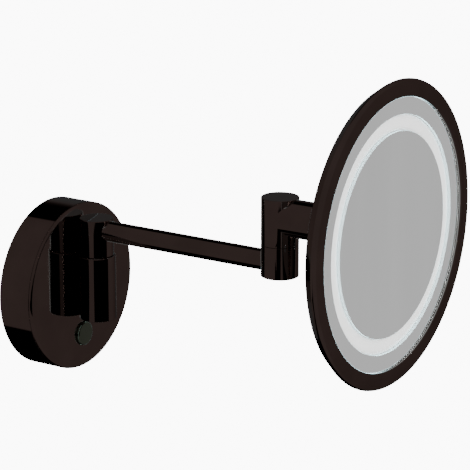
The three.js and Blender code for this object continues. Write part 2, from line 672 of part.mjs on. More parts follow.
// The bracket on the head's back: a round foot and two ears round the neck's tongue.
function makeTiltBracket() {
  let solid = turnedY([
    [0, footFrontY], [FOOT_R, footFrontY], [FOOT_R, footBackY - 0.6], [FOOT_R - 0.6, footBackY],
    [0, footBackY],
  ], TUBE_SEGMENTS);
  for (const side of [-1, 1]) {
    const from = Math.min(side * EAR_IN, side * EAR_OUT);
    const to = Math.max(side * EAR_IN, side * EAR_OUT);
    solid = solid.add(block([from, footBackY - 0.5, -TONGUE_R], [to, 0, TONGUE_R]));
    solid = solid.add(turnedX(rod(TONGUE_R, from, to), 24));
  }
  solid = solid.subtract(turnedX(rod(TILT_PIN_R + GAP, -10, 10), 24));
  for (const z of [-FOOT_SCREW_Z, FOOT_SCREW_Z]) {
    solid = solid.subtract(turnedY(rod(M3_HOLE_R, -20, 0), SMALL_SEGMENTS, 0, z));
  }
  return solid;
}

// The tilt pin, with a round head on the left and its thread on the right.
function makeTiltPin() {
  const seat = EAR_OUT + GAP;
  const pin = turnedX([
    [0, -seat - 2.4], [3.4, -seat - 2.4], [4.2, -seat - 1.6], [4.2, -seat],
    [TILT_PIN_R, -seat], [TILT_PIN_R, seat + 4.6], [0, seat + 4.6],
  ], 24);
  return pin.subtract(turnedX(rod(1.6, -seat - 3, -seat - 1), 6));
}

function makeTiltNut() {
  const seat = EAR_OUT + GAP;
  const body = turnedX(rod(4.7, seat, seat + 3.4), 6);
  return body.subtract(turnedX(rod(TILT_PIN_R + GAP, 0, 20), SMALL_SEGMENTS));
}

function makeTiltWasher(side) {
  const near = side * (TONGUE_HALF + 0.2);
  const far = side * (EAR_IN - 0.2);
  return turnedX(ring(TILT_PIN_R + GAP, 6, Math.min(near, far), Math.max(near, far)), 24);
}

head.add(
  meshOf('rim_ring', makeRimRing(), darkRim),
  meshOf('centre_mirror', makeCentreMirror(), mirrorGlass),
  meshOf('outer_mirror', makeOuterMirror(), mirrorGlass),
  meshOf('light_diffuser', makeLightDiffuser(), opal),
  meshOf('led_board', makeLedBoard(), whitePlastic),
  meshOf('mirror_carrier', makeMirrorCarrier(), aluminium),
  meshOf('head_back_shell', makeHeadBackShell(), darkBronze),
  meshOf('tilt_bracket', makeTiltBracket(), darkBronze),
  meshOf('tilt_pin', makeTiltPin(), darkBronze),
  meshOf('tilt_nut', makeTiltNut(), zincSteel),
  meshOf('tilt_washer_left', makeTiltWasher(-1), nylon),
  meshOf('tilt_washer_right', makeTiltWasher(1), nylon),
);
shellScrewPlaces().forEach(([x, z], i) => {
  const seat = shellBackY + GAP;
  const screw = screwY(3.2, M3_R, seat + 1.9, seat, carrierBackY + 1.6, x, z);
  head.add(meshOf(`shell_screw_${i + 1}`, screw, zincSteel));
});
for (const [z, word] of [[-FOOT_SCREW_Z, 'lower'], [FOOT_SCREW_Z, 'upper']]) {
  const seat = shellInnerY - GAP;
  const screw = screwY(3.0, M3_R, seat - 1.9, seat, footBackY - 0.4, 0, z);
  head.add(meshOf(`bracket_screw_${word}`, screw, zincSteel));
}
neck.add(head);

const mirror = new THREE.Group();
mirror.add(base, arm);
export default mirror;
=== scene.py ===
"""Looks of the extendable shaving mirror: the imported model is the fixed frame, in metres."""

import json
import math

import bmesh
import bpy
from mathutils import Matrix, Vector


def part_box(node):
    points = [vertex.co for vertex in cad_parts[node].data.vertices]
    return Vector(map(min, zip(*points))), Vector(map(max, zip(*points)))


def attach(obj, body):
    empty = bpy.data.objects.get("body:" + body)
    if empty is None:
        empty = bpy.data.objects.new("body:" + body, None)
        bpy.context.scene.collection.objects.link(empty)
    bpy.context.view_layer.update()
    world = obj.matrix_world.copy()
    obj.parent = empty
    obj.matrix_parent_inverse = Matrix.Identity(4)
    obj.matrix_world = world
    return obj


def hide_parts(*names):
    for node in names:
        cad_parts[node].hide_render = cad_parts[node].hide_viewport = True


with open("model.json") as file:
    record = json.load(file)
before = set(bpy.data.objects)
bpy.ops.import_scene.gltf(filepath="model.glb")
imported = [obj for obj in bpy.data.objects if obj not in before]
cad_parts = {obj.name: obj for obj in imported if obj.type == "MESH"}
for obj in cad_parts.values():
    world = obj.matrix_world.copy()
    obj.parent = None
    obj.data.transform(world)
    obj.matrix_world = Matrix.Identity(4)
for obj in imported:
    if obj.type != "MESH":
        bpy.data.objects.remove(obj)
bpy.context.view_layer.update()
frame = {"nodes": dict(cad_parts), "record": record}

# ---- Sizes, in metres ----
MM = 0.001
FINE = 192          # flats round the drum and the head
TURN = 144          # flats round the arm, the sleeve and the elbow
SMALL = 40          # flats round pins and screws
HEXAGON = 6         # sides of a key socket and of a nut
ARC_STEPS = 6       # steps in a rounded edge
SHARP_ANGLE = math.radians(32)
TINY = 1e-6
ORIGIN = (0, 0, 0)
X, Y, Z = range(3)


def low(name, axis):
    """The lower end of a CAD node along an axis."""
    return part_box(name)[0][axis]


def high(name, axis):
    """The upper end of a CAD node along an axis."""
    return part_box(name)[1][axis]


def middle(name, axis):
    """Half way between a CAD node's two ends."""
    return (low(name, axis) + high(name, axis)) / 2


def reach(name, axis):
    """Half of a CAD node's size along an axis."""
    return (high(name, axis) - low(name, axis)) / 2


def wall_point(name):
    """The point of the wall straight behind a CAD node's middle."""
    return (middle(name, X), 0, middle(name, Z))


def joint_at(name):
    """A point on a joint's axis, from the frame's record."""
    for joint in frame["record"]["behaviour"]["joints"]:
        if joint["name"] == name:
            return Vector(joint["pos_m"])
    raise ValueError(name)


WALL_AXIS = joint_at("arm_swing")
ELBOW_AXIS = joint_at("head_swing")
TILT_AXIS = joint_at("head_tilt")
HEAD_Z = TILT_AXIS.z
WALL_PLACE = (WALL_AXIS.x, WALL_AXIS.y, 0)
ELBOW_PLACE = (ELBOW_AXIS.x, ELBOW_AXIS.y, 0)
TILT_PLACE = (0, TILT_AXIS.y, HEAD_Z)
HEAD_PLACE = (0, 0, HEAD_Z)

# ================= Mesh work =================


def rounded(points, radii, steps=ARC_STEPS):
    """An outline of (radius, height) corners, each rounded by its own value in radii."""
    out = []
    for i, (here, r) in enumerate(zip(points, radii)):
        corner = Vector(here)
        if r <= 0:
            out.append(tuple(corner))
            continue
        to_last = (Vector(points[i - 1]) - corner).normalized()
        to_next = (Vector(points[(i + 1) % len(points)]) - corner).normalized()
        half = to_last.angle(to_next) / 2
        run = r / math.tan(half)
        start = corner + to_last * run
        end = corner + to_next * run
        centre = corner + (to_last + to_next).normalized() * (r / math.sin(half))
        first = start - centre
        sweep = math.pi - 2 * half
        turn = 1 if first.x * (end - centre).y - first.y * (end - centre).x > 0 else -1
        for k in range(steps + 1):
            a = turn * sweep * k / steps
            spin = Vector((first.x * math.cos(a) - first.y * math.sin(a),
                           first.x * math.sin(a) + first.y * math.cos(a)))
            out.append(tuple(centre + spin))
    return out


def add_turned(bm, section, axis, centre, segments):
    """A closed section of (radius, height along axis) turned about a line through centre."""
    rings = []
    for radius, height in section:
        ring = []
        count = 1 if radius < TINY else segments
        for k in range(count):
            a = 2 * math.pi * k / segments
            c, s = radius * math.cos(a), radius * math.sin(a)
            offset = {"X": (height, c, s), "Y": (c, height, s), "Z": (c, s, height)}[axis]
            ring.append(bm.verts.new(Vector(centre) + Vector(offset)))
        rings.append(ring)
    for i, ring in enumerate(rings):
        after = rings[(i + 1) % len(rings)]
        if len(ring) == 1 and len(after) == 1:
            continue
        for k in range(segments):
            corners = [ring[k % len(ring)], ring[(k + 1) % len(ring)],
                       after[(k + 1) % len(after)], after[k % len(after)]]
            corners = list(dict.fromkeys(corners))
            bm.faces.new(corners)


def tidy(bm):
    """Merges doubled corners and points every face outwards."""
    bmesh.ops.remove_doubles(bm, verts=bm.verts, dist=TINY)
    bmesh.ops.recalc_face_normals(bm, faces=bm.faces)


def new_object(name, bm):
    """A new object at the origin from a bmesh, which is used up."""
    tidy(bm)
    mesh = bpy.data.meshes.new(name)
    bm.to_mesh(mesh)
    bm.free()
    piece = bpy.data.objects.new(name, mesh)
    bpy.context.scene.collection.objects.link(piece)
    return piece


def applied(piece):
    """Turns a piece's modifiers into its mesh."""
    depsgraph = bpy.context.evaluated_depsgraph_get()
    mesh = bpy.data.meshes.new_from_object(piece.evaluated_get(depsgraph))
    piece.modifiers.clear()
    piece.data = mesh
    return piece


def boolean(piece, cutters, operation):
    """Joins, cuts or keeps by each cutter in turn, and deletes the cutters."""
    for cutter in cutters:
        change = piece.modifiers.new("shape", "BOOLEAN")
        change.operation = operation
        change.solver = "EXACT"
        change.object = cutter
        applied(piece)
        bpy.data.objects.remove(cutter)


def solid(name, section, axis, centre, segments):
    """A closed section turned into a solid about a line through centre."""
    bm = bmesh.new()
    add_turned(bm, section, axis, centre, segments)
    return new_object(name, bm)


def rod(name, radius, start, end, axis, centre, segments=SMALL):
    """A plain bar between two heights; six segments make it a hexagon."""
    section = [(0, start), (radius, start), (radius, end), (0, end)]
    return solid(name, section, axis, centre, segments)


def bevelled(piece, width, segments=3):
    """Rounds a piece's sharp edges a little, so that they catch the light."""
    edge = piece.modifiers.new("edge", "BEVEL")
    edge.width = width
    edge.segments = segments
    edge.limit_method = "ANGLE"
    edge.angle_limit = SHARP_ANGLE
    return applied(piece)


def smoothed(piece):
    """Smooth shading, broken at sharp edges, with flat faces kept flat."""
    bm = bmesh.new()
    bm.from_mesh(piece.data)
    bmesh.ops.remove_doubles(bm, verts=bm.verts, dist=TINY)
    for face in bm.faces:
        face.smooth = True
    for edge in bm.edges:
        sharp = len(edge.link_faces) != 2 or edge.calc_face_angle(0.0) > SHARP_ANGLE
        edge.smooth = not sharp
    bm.to_mesh(piece.data)
    bm.free()
    weight = piece.modifiers.new("flats", "WEIGHTED_NORMAL")
    weight.mode = "FACE_AREA"
    weight.keep_sharp = True
    return applied(piece)


def finished(piece, material, body, slot, *nodes):
    """Gives a piece its material and body, and hides the CAD nodes it stands for. The slot is not used."""
    piece.data.materials.clear()
    piece.data.materials.append(material)
    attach(piece, body)
    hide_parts(*nodes)


# ================= Shader groups =================
COLOUR_A, COLOUR_B, COLOUR_OUT = 6, 7, 2    # where a Mix node keeps its colours
NUMBER_A, NUMBER_B = 2, 3                   # where it keeps its plain numbers
SWIRL_SCALE = 38
HAIR_SCALE = 900


def wire(tree, source, target):
    """Joins one socket to another."""
    tree.links.new(source, target)


def node(tree, kind, **values):
    """A new node with its properties set."""
    made = tree.nodes.new(kind)
    for key, value in values.items():
        setattr(made, key, value)
    return made


def give(made, values):
    """Sets a node's sockets by their labels."""
    for label, value in values.items():
        made.inputs[label].default_value = value


def new_group(name, inputs, outputs):
    """A shader node group with named inputs and outputs."""
    tree = bpy.data.node_groups.new(name, "ShaderNodeTree")
    for label, kind, start in inputs:
        socket = tree.interface.new_socket(label, in_out="INPUT", socket_type=kind)
        if start is not None:
            socket.default_value = start
    for label, kind in outputs:
        tree.interface.new_socket(label, in_out="OUTPUT", socket_type=kind)
    return tree, node(tree, "NodeGroupInput"), node(tree, "NodeGroupOutput")


def combined(tree, operation, one, two):
    """A math node on two values, each a socket or a number."""
    made = node(tree, "ShaderNodeMath", operation=operation)
    for socket, value in zip(made.inputs, (one, two)):
        if isinstance(value, float):
            socket.default_value = value
        else:
            wire(tree, value, socket)
    return made.outputs[0]


def ranged(tree, source, low_in, high_in, low_out, high_out, shape="SMOOTHSTEP"):
    """A value moved from one range to another."""
    step = node(tree, "ShaderNodeMapRange", interpolation_type=shape)
    give(step, {"From Min": low_in, "From Max": high_in, "To Min": low_out, "To Max": high_out})
    wire(tree, source, step.inputs["Value"])
    return step.outputs["Result"]


def noise(tree, place, scale, detail):
    """A noise read at a place."""
    texture = node(tree, "ShaderNodeTexNoise")
    give(texture, {"Scale": scale, "Detail": detail})
    wire(tree, place, texture.inputs["Vector"])
    return texture.outputs["Fac"]


def blended(tree, share, one, two):
    """A colour that runs from one to two as share goes from 0 to 1."""
    mix = node(tree, "ShaderNodeMix", data_type="RGBA")
    mix.inputs[COLOUR_A].default_value = one
    mix.inputs[COLOUR_B].default_value = two
    wire(tree, share, mix.inputs["Factor"])
    return mix.outputs[COLOUR_OUT]


def make_polish_group():
    """Polished plating: faint buffing swirls and hand marks that shift roughness and colour."""
    tree, start, end = new_group(
        "PolishMarks",
        [("Roughness", "NodeSocketFloat", 0.1), ("Marks", "NodeSocketFloat", 0.05),
         ("Colour", "NodeSocketColor", None), ("Bump", "NodeSocketFloat", 0.02)],
        [("Colour", "NodeSocketColor"), ("Roughness", "NodeSocketFloat"), ("Height", "NodeSocketFloat")],
    )
    place = node(tree, "ShaderNodeTexCoord").outputs["Object"]
    swirl = noise(tree, place, SWIRL_SCALE, 5)
    hair = noise(tree, place, HAIR_SCALE, 3)
    smear = ranged(tree, swirl, 0.45, 0.75, 0, 1)
    shift = combined(tree, "MULTIPLY_ADD", smear, start.outputs["Marks"])
    wire(tree, start.outputs["Roughness"], shift.node.inputs[2])
    wire(tree, shift, end.inputs["Roughness"])
    tone = node(tree, "ShaderNodeHueSaturation")
    wire(tree, ranged(tree, swirl, 0.3, 0.7, 0.94, 1.06), tone.inputs["Value"])
    wire(tree, start.outputs["Colour"], tone.inputs["Color"])
    wire(tree, tone.outputs["Color"], end.inputs["Colour"])
    wire(tree, combined(tree, "MULTIPLY", hair, start.outputs["Bump"]), end.inputs["Height"])
    return tree


POLISH = make_polish_group()

# ================= Materials =================
METAL, NOT_METAL = 1.0, 0.0
RELIEF_DEPTH = 0.02 * MM
BRONZE_EDGE = (0.48, 0.48, 0.48, 1)         # tint of the glancing gloss on the black bronze
WIPE_SLANT = math.radians(38)
WIPE_STRETCH = (14, 1, 1.6)
SILVER_TONES = ((0.470, 0.472, 0.471, 1), (0.530, 0.531, 0.530, 1))
OPAL_TONES = ((0.73, 0.73, 0.72, 1), (0.79, 0.79, 0.785, 1))
OPAL_DEPTH = 4 * MM
OPAL_GLOW = 0.2


def blank_material(name):
    """A new material with one Principled shader."""
    material = bpy.data.materials.new(name)
    material.use_nodes = True
    material.node_tree.nodes.clear()
    tree = material.node_tree
    shader = node(tree, "ShaderNodeBsdfPrincipled")
    out = node(tree, "ShaderNodeOutputMaterial")
    wire(tree, shader.outputs["BSDF"], out.inputs["Surface"])
    return material, tree, shader


def marked_material(name, colour, roughness, marks, metallic, grain=0.02, edge=None):
    """A finish whose colour, roughness and fine relief come from the polish group."""
    material, tree, shader = blank_material(name)
    polish = node(tree, "ShaderNodeGroup", node_tree=POLISH)
    give(polish, {"Roughness": roughness, "Marks": marks, "Colour": (*colour, 1), "Bump": grain})
    give(shader, {"Metallic": metallic})
    if edge:
        give(shader, {"Specular Tint": edge})
    relief = node(tree, "ShaderNodeBump")
    give(relief, {"Distance": RELIEF_DEPTH})
    wire(tree, polish.outputs["Height"], relief.inputs["Height"])
    wire(tree, polish.outputs["Colour"], shader.inputs["Base Color"])
    wire(tree, polish.outputs["Roughness"], shader.inputs["Roughness"])
    wire(tree, relief.outputs["Normal"], shader.inputs["Normal"])
    return material


def black_bronze(name, colour, roughness=0.045, marks=0.05):
    """Polished near-black bronze plating, whose edges stay dark instead of going white."""
    return marked_material(name, colour, roughness, marks, METAL, edge=BRONZE_EDGE)


BRONZE = black_bronze("black_bronze", (0.0300, 0.0198, 0.0177))
RIM_BRONZE = black_bronze("rim_bronze", (0.0310, 0.0210, 0.0188))
SHELL_BRONZE = black_bronze("shell_bronze", (0.0300, 0.0200, 0.0180), 0.08, 0.06)
BUTTON_BRONZE = black_bronze("button_bronze", (0.0270, 0.0290, 0.0220), 0.12, 0.05)


def make_silvered_glass():
    """The mirror: bright silver behind glass, with faint slanting wipe marks."""
    material, tree, shader = blank_material("silvered_glass")
    slant = node(tree, "ShaderNodeMapping")
    give(slant, {"Rotation": (0, WIPE_SLANT, 0), "Scale": WIPE_STRETCH})
    wire(tree, node(tree, "ShaderNodeTexCoord").outputs["Object"], slant.inputs["Vector"])
    wipe = noise(tree, slant.outputs["Vector"], 2.2, 3)
    wire(tree, blended(tree, wipe, *SILVER_TONES), shader.inputs["Base Color"])
    wire(tree, ranged(tree, wipe, 0.4, 0.75, 0.015, 0.05), shader.inputs["Roughness"])
    give(shader, {"Metallic": METAL})
    return material


def make_opal():
    """Milky plastic that glows evenly, as if lit by the board behind it."""
    material, tree, shader = blank_material("opal_plastic")
    milk = noise(tree, node(tree, "ShaderNodeTexCoord").outputs["Object"], 60, 4)
    wire(tree, blended(tree, milk, *OPAL_TONES), shader.inputs["Base Color"])
    wire(tree, ranged(tree, milk, 0.3, 0.7, 0.32, 0.42), shader.inputs["Roughness"])
    give(shader, {
        "Subsurface Weight": 0.15, "Subsurface Radius": (OPAL_DEPTH, OPAL_DEPTH, OPAL_DEPTH),
        "Emission Color": (1, 1, 0.99, 1), "Emission Strength": OPAL_GLOW,
    })
    return material


SILVER = make_silvered_glass()
OPAL = make_opal()
ZINC = marked_material("zinc_plate", (0.50, 0.51, 0.53), 0.32, 0.05, METAL, 0.3)
SHEET_METAL = marked_material("pressed_aluminium", (0.62, 0.63, 0.64), 0.34, 0.12, METAL, 0.4)
BLACK_MOULDING = marked_material("black_moulding", (0.012, 0.012, 0.013), 0.42, 0.15, NOT_METAL, 0.8)
WHITE_MOULDING = marked_material("white_moulding", (0.80, 0.80, 0.77), 0.42, 0.12, NOT_METAL, 0.6)
NYLON = marked_material("natural_nylon", (0.72, 0.69, 0.60), 0.38, 0.10, NOT_METAL, 0.5)
STEEL_BLACK = marked_material("blacked_steel", (0.09, 0.09, 0.095), 0.30, 0.05, METAL, 0.3)
PHOSPHOR = marked_material("light_phosphor", (0.78, 0.62, 0.14), 0.45, 0.08, NOT_METAL, 0.4)
RUBBER = marked_material("moulded_rubber", (0.010, 0.010, 0.010), 0.70, 0.12, NOT_METAL, 1.0)
BOARD_GREEN = marked_material("board_green", (0.012, 0.085, 0.035), 0.34, 0.10, NOT_METAL, 0.5)
SHEATH = marked_material("lead_sheath", (0.014, 0.014, 0.015), 0.50, 0.12, NOT_METAL, 0.8)

SLOT_MATERIALS = {
    "dark_bronze": BRONZE, "dark_rim": RIM_BRONZE, "dark_shell": SHELL_BRONZE,
    "button_metal": BUTTON_BRONZE, "mirror_glass": SILVER, "opal": OPAL, "zinc_steel": ZINC,
    "aluminium_sheet": SHEET_METAL, "black_plastic": BLACK_MOULDING, "white_plastic": WHITE_MOULDING,
    "nylon": NYLON, "rubber": RUBBER, "circuit_board": BOARD_GREEN, "cable_sheath": SHEATH,
}


def dress_cad_nodes():
    """Every CAD node gets its slot's material, so the hidden pieces are finished too."""
    for entry in frame["record"]["subparts"]:
        material = SLOT_MATERIALS[entry["material_slot"]]
        cad = frame["nodes"][entry["node"]]
        for slot in cad.material_slots:
            slot.material = material


dress_cad_nodes()

# ================= Wall base =================
DRUM_R = reach("base_cover", X)
DRUM_FACE = low("base_cover", Y)
DRUM_EDGE = 2.0 * MM
COVER_WALL = 2.0 * MM
COVER_FACE = 3.0 * MM
BUTTON_Z = middle("power_button", Z)
BUTTON_FLANGE = 1.3 * MM     # how far its flange stands out inside the drum
BUTTON_R = reach("power_button", X) - BUTTON_FLANGE
BUTTON_HOLE_R = BUTTON_R + 0.35 * MM
GRUB_Y = middle("cover_grub_screw", Y)
GRUB_R = reach("cover_grub_screw", X)
SEAM_DEEP = 0.35 * MM
SEAM_WIDE = 0.5 * MM
PIVOT_BORE_R = 5.15 * MM     # in the fixed half of an upright joint
TURNING_BORE_R = 5.3 * MM    # in the half that turns
SLOT_RING_R = 46 * MM        # where the plate's hanging slots are
SLOT_R = 2.6 * MM
SLOT_SHIFT = 2.3 * MM
SCREW_HOLE_R = 1.9 * MM


def make_drum():
    """The cover: a cup with a soft front edge, a hole for the button and one below for the screw."""
    inner = DRUM_R - COVER_WALL
    floor = DRUM_FACE + COVER_FACE
    seam = DRUM_FACE + DRUM_EDGE + 0.06 * MM
    seam_back = seam + SEAM_WIDE
    seam_r = DRUM_R - SEAM_DEEP
    outline = [(0, DRUM_FACE), (DRUM_R, DRUM_FACE), (DRUM_R, seam), (seam_r, seam), (seam_r, seam_back),
               (DRUM_R, seam_back), (DRUM_R, 0), (inner, 0), (inner, floor), (0, floor)]
    fine = 0.05 * MM
    rear = 0.25 * MM
    root = 0.6 * MM
    radii = [0, DRUM_EDGE, fine, fine, fine, fine, rear, rear, root, 0]
    piece = solid("drum_cover", rounded(outline, radii), "Y", ORIGIN, FINE)
    lip = 0.35 * MM
    lip_step = lip * 0.3
    mouth_r = BUTTON_HOLE_R + lip
    button_cut = [(0, floor + MM), (BUTTON_HOLE_R, floor + MM), (BUTTON_HOLE_R, DRUM_FACE + lip),
                  (BUTTON_HOLE_R + lip_step, DRUM_FACE + lip_step), (mouth_r, DRUM_FACE),
                  (mouth_r, DRUM_FACE - MM), (0, DRUM_FACE - MM)]
    grub_hole_r = GRUB_R + 0.4 * MM
    cutters = [
        solid("cut", button_cut, "Y", (0, 0, BUTTON_Z), TURN),
        rod("cut", grub_hole_r, -DRUM_R - MM, -DRUM_R + 5 * MM, "Z", (0, GRUB_Y, 0)),
    ]
    boolean(piece, cutters, "DIFFERENCE")
    finished(smoothed(piece), BRONZE, "base", "dark_bronze", "base_cover")


def make_button():
    """The push button: a slightly dished cap with a rounded shoulder."""
    front = low("power_button", Y)
    back = high("power_button", Y)
    flange = DRUM_FACE + COVER_FACE + 0.35 * MM
    flange_back = flange + 1.1 * MM
    flange_r = BUTTON_R + 1.2 * MM
    stem_r = 3 * MM
    shoulder = 1.2 * MM
    fine = 0.2 * MM
    outline = [
        (0, front + 0.25 * MM), (BUTTON_R - 2.4 * MM, front + 0.12 * MM), (BUTTON_R - 1.6 * MM, front),
        (BUTTON_R, front), (BUTTON_R, flange), (flange_r, flange), (flange_r, flange_back),
        (stem_r, flange_back), (stem_r, back), (0, back),
    ]
    radii = [0, 0, 0.3 * MM, shoulder, 0, fine, fine, 0, 0.1 * MM, 0]
    piece = solid("power_button_cap", rounded(outline, radii), "Y", (0, 0, BUTTON_Z), TURN)
    finished(smoothed(piece), BUTTON_BRONZE, "button", "button_metal", "power_button")


def make_sleeve():
    """The fixed sleeve, its top edge softened where the knuckle turns on it, and its end cap."""
    radius = reach("fixed_sleeve", X)
    bottom = low("fixed_sleeve", Z)
    top = high("fixed_sleeve", Z)
    shelf = 6 * MM
    hollow_r = 10 * MM
    mouth_r = 12.8 * MM
    mouth = bottom + 2 * MM
    outline = [(mouth_r, bottom), (radius, bottom), (radius, top), (PIVOT_BORE_R, top), (PIVOT_BORE_R, shelf),
               (hollow_r, shelf), (hollow_r, mouth), (mouth_r, mouth)]
    radii = [0.2 * MM, 0.5 * MM, 0.7 * MM, 0.2 * MM, 0, 0, 0, 0]
    piece = solid("wall_sleeve", rounded(outline, radii), "Z", WALL_PLACE, TURN)
    finished(smoothed(piece), BRONZE, "base", "dark_bronze", "fixed_sleeve")
    cap_r = reach("sleeve_end_cap", X)
    cap_top = high("sleeve_end_cap", Z)
    cap_face = bottom + 0.05 * MM
    spigot_r = hollow_r - 0.3 * MM
    seat = bottom + 1.7 * MM
    cap = [(0, cap_face), (cap_r, cap_face), (cap_r, seat), (spigot_r, seat),
           (spigot_r, cap_top), (0, cap_top)]
    end = solid("wall_sleeve_cap", rounded(cap, [0, 0.35 * MM, 0, 0, 0.3 * MM, 0]), "Z", WALL_PLACE, TURN)
    finished(smoothed(end), BRONZE, "base", "dark_bronze", "sleeve_end_cap")


def make_wall_plate():
    """The plate behind the drum, finely turned, with its slots and wire hole."""
    outer = reach("wall_plate", X)
    depth = -low("wall_plate", Y)
    thick = 3 * MM
    inner = outer - 2.4 * MM
    outline = [(0, 0), (outer, 0), (outer, -depth), (inner, -depth), (inner, -thick), (0, -thick)]
    radii = [0, 0.3 * MM, 0.4 * MM, 0.4 * MM, 0.8 * MM, 0]
    piece = solid("wall_plate_fine", rounded(outline, radii), "Y", ORIGIN, FINE)
    holes = []
    for turn in range(4):
        a = turn * math.pi / 2
        x, z = SLOT_RING_R * math.cos(a), SLOT_RING_R * math.sin(a)
        for shift in (-SLOT_SHIFT, 0, SLOT_SHIFT):
            holes.append((SLOT_R, (x + shift, 0, z)))
    holes.append((7.2 * MM, wall_point("cable_grommet")))
    for side in ("left", "right"):
        holes.append((SCREW_HOLE_R, wall_point(f"driver_screw_{side}")))
    cutters = [rod("cut", radius, -5 * MM, 2 * MM, "Y", place) for radius, place in holes]
    cutters.append(rod("cut", GRUB_R + 0.3 * MM, -outer - MM, -outer + 6 * MM, "Z", (0, GRUB_Y, 0)))
    boolean(piece, cutters, "DIFFERENCE")
    finished(smoothed(piece), ZINC, "base", "zinc_steel", "wall_plate")


def make_grommet():
    """The rubber bush that lines the plate's wire hole."""
    bore_r = 4 * MM
    neck_r = 7 * MM
    flange_r = 9.9 * MM
    back = -0.3 * MM
    flange = -3.3 * MM
    front = -5.2 * MM
    outline = [(bore_r, back), (neck_r, back), (neck_r, flange), (flange_r, flange), (flange_r, front),
               (bore_r, front)]
    radii = [0.8 * MM, 0.5 * MM, 0, 0.6 * MM, 0.7 * MM, 0.7 * MM]
    piece = solid("wire_bush", rounded(outline, radii), "Y", wall_point("cable_grommet"), TURN)
    finished(smoothed(piece), RUBBER, "base", "rubber", "cable_grommet")


def make_grub_screw():
    """The screw under the drum that holds the cover, with its key socket."""
    bottom = low("cover_grub_screw", Z)
    top = high("cover_grub_screw", Z)
    place = (0, GRUB_Y, 0)
    outline = [(0, bottom), (GRUB_R, bottom), (GRUB_R, top), (0, top)]
    piece = solid("cover_lock_screw", rounded(outline, [0, 0.3 * MM, 0.3 * MM, 0]), "Z", place, SMALL)
    boolean(piece, [rod("cut", 1.1 * MM, bottom - MM, bottom + 2 * MM, "Z", place, HEXAGON)], "DIFFERENCE")
    finished(smoothed(piece), BLACK_MOULDING, "base", "black_plastic", "cover_grub_screw")


make_drum()
make_button()
make_sleeve()
make_wall_plate()
make_grommet()
make_grub_screw()

# ================= Arm =================
ARM_R = reach("arm_tube", X)
ARM_Z = middle("arm_tube", Z)
ARM_WALL = 1.5 * MM
KNUCKLE_R = reach("arm_knuckle", X)
ELBOW_R = reach("elbow_lower", X)
SEAM_SINK = 0.15 * MM    # how far a tube's end runs into the piece it is brazed to


def make_knuckle():
    """The turning half of the wall joint: a closed barrel with crisp, slightly broken edges."""
    bottom = low("arm_knuckle", Z)
    top = high("arm_knuckle", Z)
    bore_top = 42 * MM
    outline = [(0, top), (KNUCKLE_R, top), (KNUCKLE_R, bottom), (TURNING_BORE_R, bottom),
               (TURNING_BORE_R, bore_top), (0, bore_top)]
    radii = [0, 0.45 * MM, 0.5 * MM, 0.2 * MM, 0, 0]
    piece = solid("arm_barrel", rounded(outline, radii), "Z", WALL_PLACE, TURN)
    finished(smoothed(piece), BRONZE, "arm", "dark_bronze", "arm_knuckle")


def saddle(axis_y, radius, x, side):
    """Where a tube along Y at offset x meets an upright cylinder."""
    return axis_y + side * math.sqrt(radius * radius - x * x)


def make_arm_tube():
    """The arm's tube, its ends shaped to the barrel and the elbow."""
    bm = bmesh.new()
    rows = 12
    rings = []
    for radius in (ARM_R, ARM_R - ARM_WALL):
        layers = []
        for row in range(rows + 1):
            ring = []
            for k in range(TURN):
                a = 2 * math.pi * k / TURN
                x, z = radius * math.cos(a), radius * math.sin(a)
                near = saddle(WALL_AXIS.y, KNUCKLE_R - SEAM_SINK, x, -1)
                far = saddle(ELBOW_AXIS.y, ELBOW_R - SEAM_SINK, x, 1)
                y = near + (far - near) * row / rows
                ring.append(bm.verts.new((x, y, ARM_Z + z)))
            layers.append(ring)
        rings.append(layers)
    outer, inner = rings
    strips = [(a, b) for layers in rings for a, b in zip(layers, layers[1:])]
    strips += [(outer[0], inner[0]), (outer[-1], inner[-1])]
    for one, two in strips:
        for k in range(TURN):
            after = (k + 1) % TURN
            bm.faces.new((one[k], one[after], two[after], two[k]))
    piece = new_object("arm_tube_fine", bm)
    finished(smoothed(piece), BRONZE, "arm", "dark_bronze", "arm_tube")


def make_elbow_lower():
    """The elbow's lower half, a cup hollow from below, and the cap that closes it."""
    bottom = low("elbow_lower", Z)
    top = high("elbow_lower", Z)
    hollow_r = 11 * MM
    shelf = 55 * MM
    outline = [(hollow_r, bottom), (ELBOW_R, bottom), (ELBOW_R, top), (PIVOT_BORE_R, top),
               (PIVOT_BORE_R, shelf), (hollow_r, shelf)]
    radii = [0.2 * MM, 0.4 * MM, 0.12 * MM, 0.1 * MM, 0, 0]
    piece = solid("elbow_cup", rounded(outline, radii), "Z", ELBOW_PLACE, TURN)
    finished(smoothed(piece), BRONZE, "arm", "dark_bronze", "elbow_lower")
    cap_r = reach("elbow_bottom_cap", X) + 0.15 * MM
    cap_low = low("elbow_bottom_cap", Z)
    cap_top = high("elbow_bottom_cap", Z)
    cap = [(0, cap_low), (cap_r, cap_low), (cap_r, cap_top), (0, cap_top)]
    end = solid("elbow_cup_cap", rounded(cap, [0, 0.3 * MM, 0.2 * MM, 0]), "Z", ELBOW_PLACE, TURN)
    finished(smoothed(end), BRONZE, "arm", "dark_bronze", "elbow_bottom_cap")


make_knuckle()
make_arm_tube()
make_elbow_lower()

# ================= Neck =================
NECK_END = low("neck_tee", Y)
NECK_BORE_R = 11.5 * MM
TONGUE_R = 7 * MM
TONGUE_HALF = 3 * MM
PIN_R = 2.5 * MM
PIN_HOLE_R = PIN_R + 0.1 * MM
LEAD_HOLE_R = 1.9 * MM


